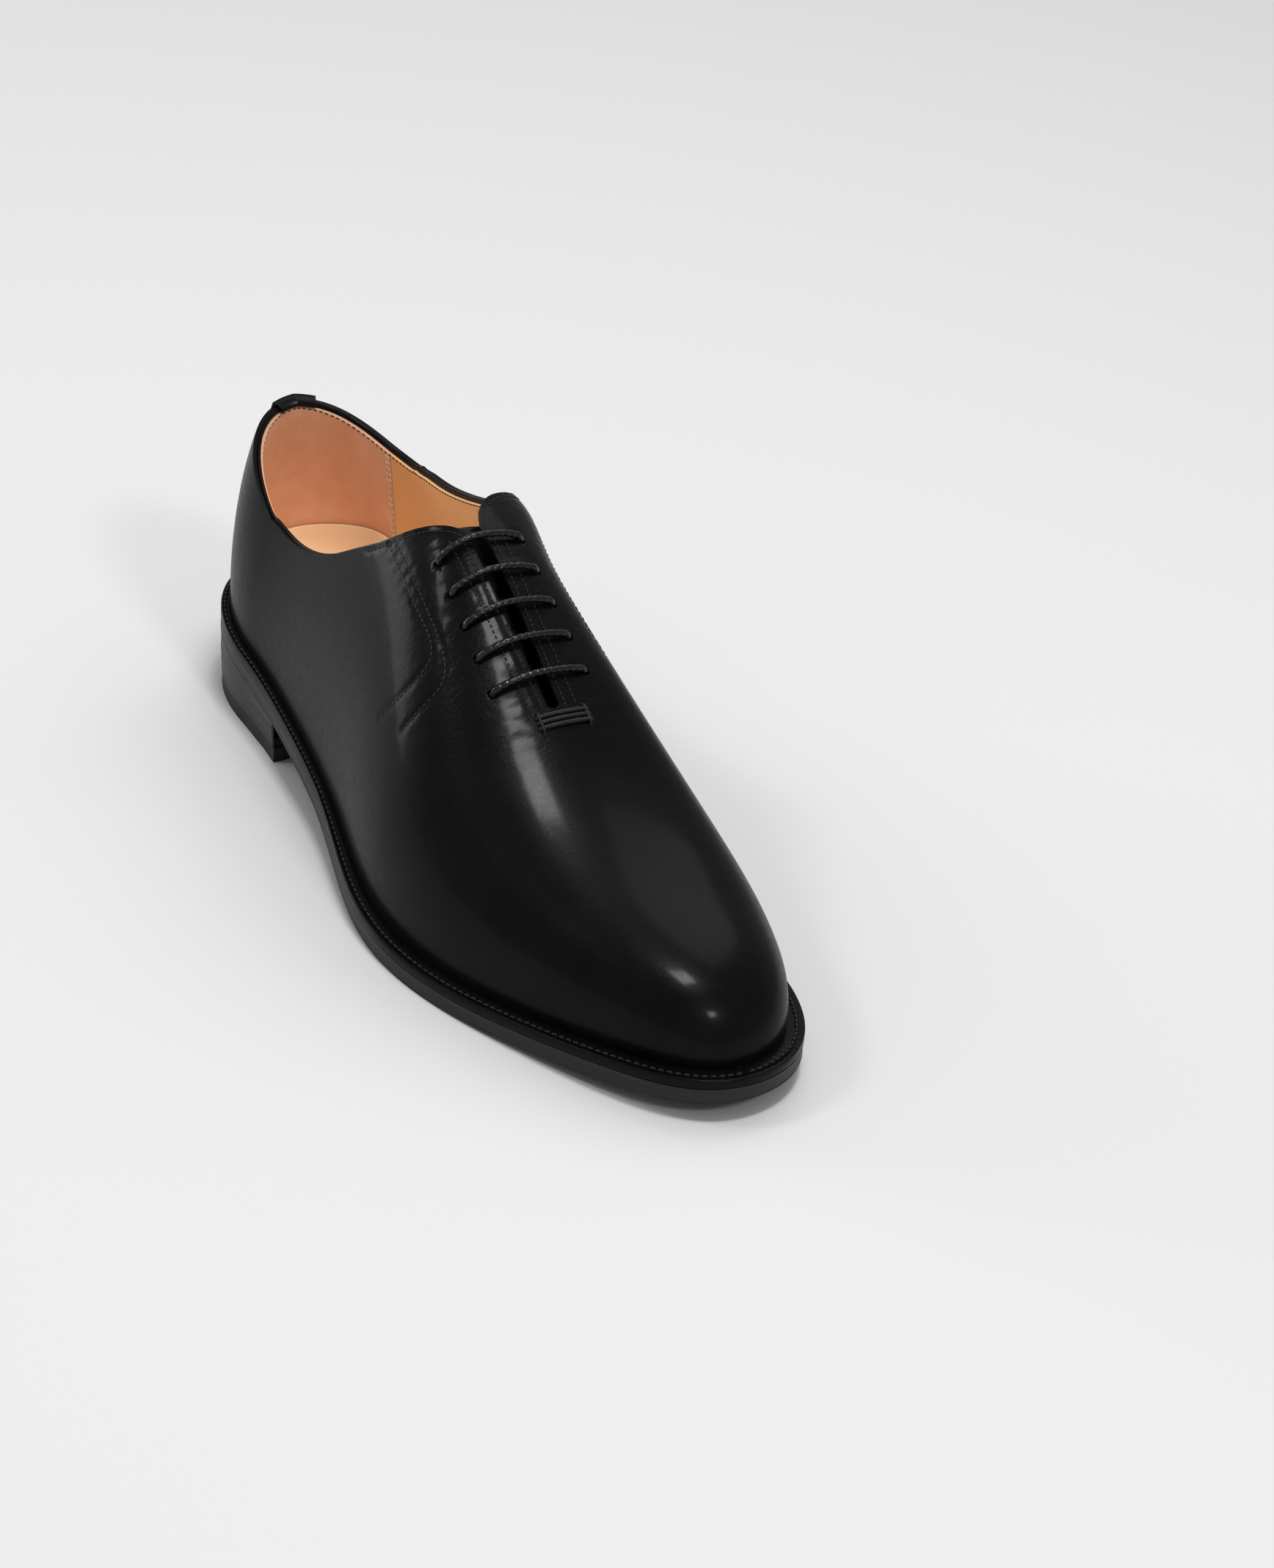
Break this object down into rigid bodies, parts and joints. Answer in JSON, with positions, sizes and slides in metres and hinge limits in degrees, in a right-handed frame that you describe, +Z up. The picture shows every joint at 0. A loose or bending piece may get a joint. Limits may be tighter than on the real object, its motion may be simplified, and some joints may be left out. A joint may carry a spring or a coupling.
{
  "type": "leather oxford shoe",
  "caption": "Plain wholecut lace-up dress shoe for the right foot, closed lacing, stitched welt, leather sole and low stacked heel.",
  "frame": {"origin": "middle of the shoe's box, on the floor that the heel and the tread stand on", "axes": "+X towards the lateral side, +Y towards the toe, +Z up"},
  "size_m": [0.1005, 0.304, 0.1106],
  "materials": {
    "calf_black": "polished box calf, fine tight grain",
    "edge_black": "burnished and dyed sole edge",
    "lining_tan": "smooth vegetable-tanned lining leather",
    "suede_pink": "soft suede heel grip",
    "sock_leather": "smooth pale sock leather",
    "insole_leather": "natural insole leather",
    "stiffener": "pasted leather board",
    "thread_black": "waxed thread",
    "lace_black": "round waxed braided cotton",
    "aglet_black": "clear-coated sheath",
    "rib_canvas": "canvas rib",
    "cork": "ground cork paste",
    "steel": "tempered strip",
    "rubber_black": "firm moulded rubber",
    "brass": "drawn nail heads"
  },
  "bodies": {
    "shoe": {"wholecut_upper": "calf_black", "topline_binding": "calf_black", "heel_tab": "calf_black", "throat_bar_tack": "thread_black", "toe_puff": "stiffener", "heel_counter": "stiffener", "facing_stay_lateral": "stiffener", "facing_stay_medial": "stiffener", "quarter_lining_lateral": "lining_tan", "quarter_lining_medial": "lining_tan", "heel_grip_lining": "suede_pink", "vamp_lining": "lining_tan", "lace": "lace_black", "lace_tail_lateral": "lace_black", "lace_tail_medial": "lace_black", "aglet_lateral": "aglet_black", "aglet_medial": "aglet_black", "sock_liner": "sock_leather", "insole": "insole_leather", "insole_rib": "rib_canvas", "cork_filler": "cork", "steel_shank": "steel", "welt": "edge_black", "outsole": "edge_black", "heel_wedge": "edge_black", "heel_lift_upper": "edge_black", "heel_lift_lower": "edge_black", "heel_top_piece": "rubber_black", "heel_nails": "brass"},
    "tongue": {"tongue_leather": "calf_black", "tongue_lining": "lining_tan"}
  },
  "joints": [
    {"name": "tongue_bend", "type": "hinge", "parent": "shoe", "child": "tongue", "pos_m": [-0.003, 0.0525, 0.0598], "axis": [1, 0, 0], "range_deg": [0, 20], "stiffness_Nm_per_rad": 0.02, "springref_deg": -11.46}
  ]
}
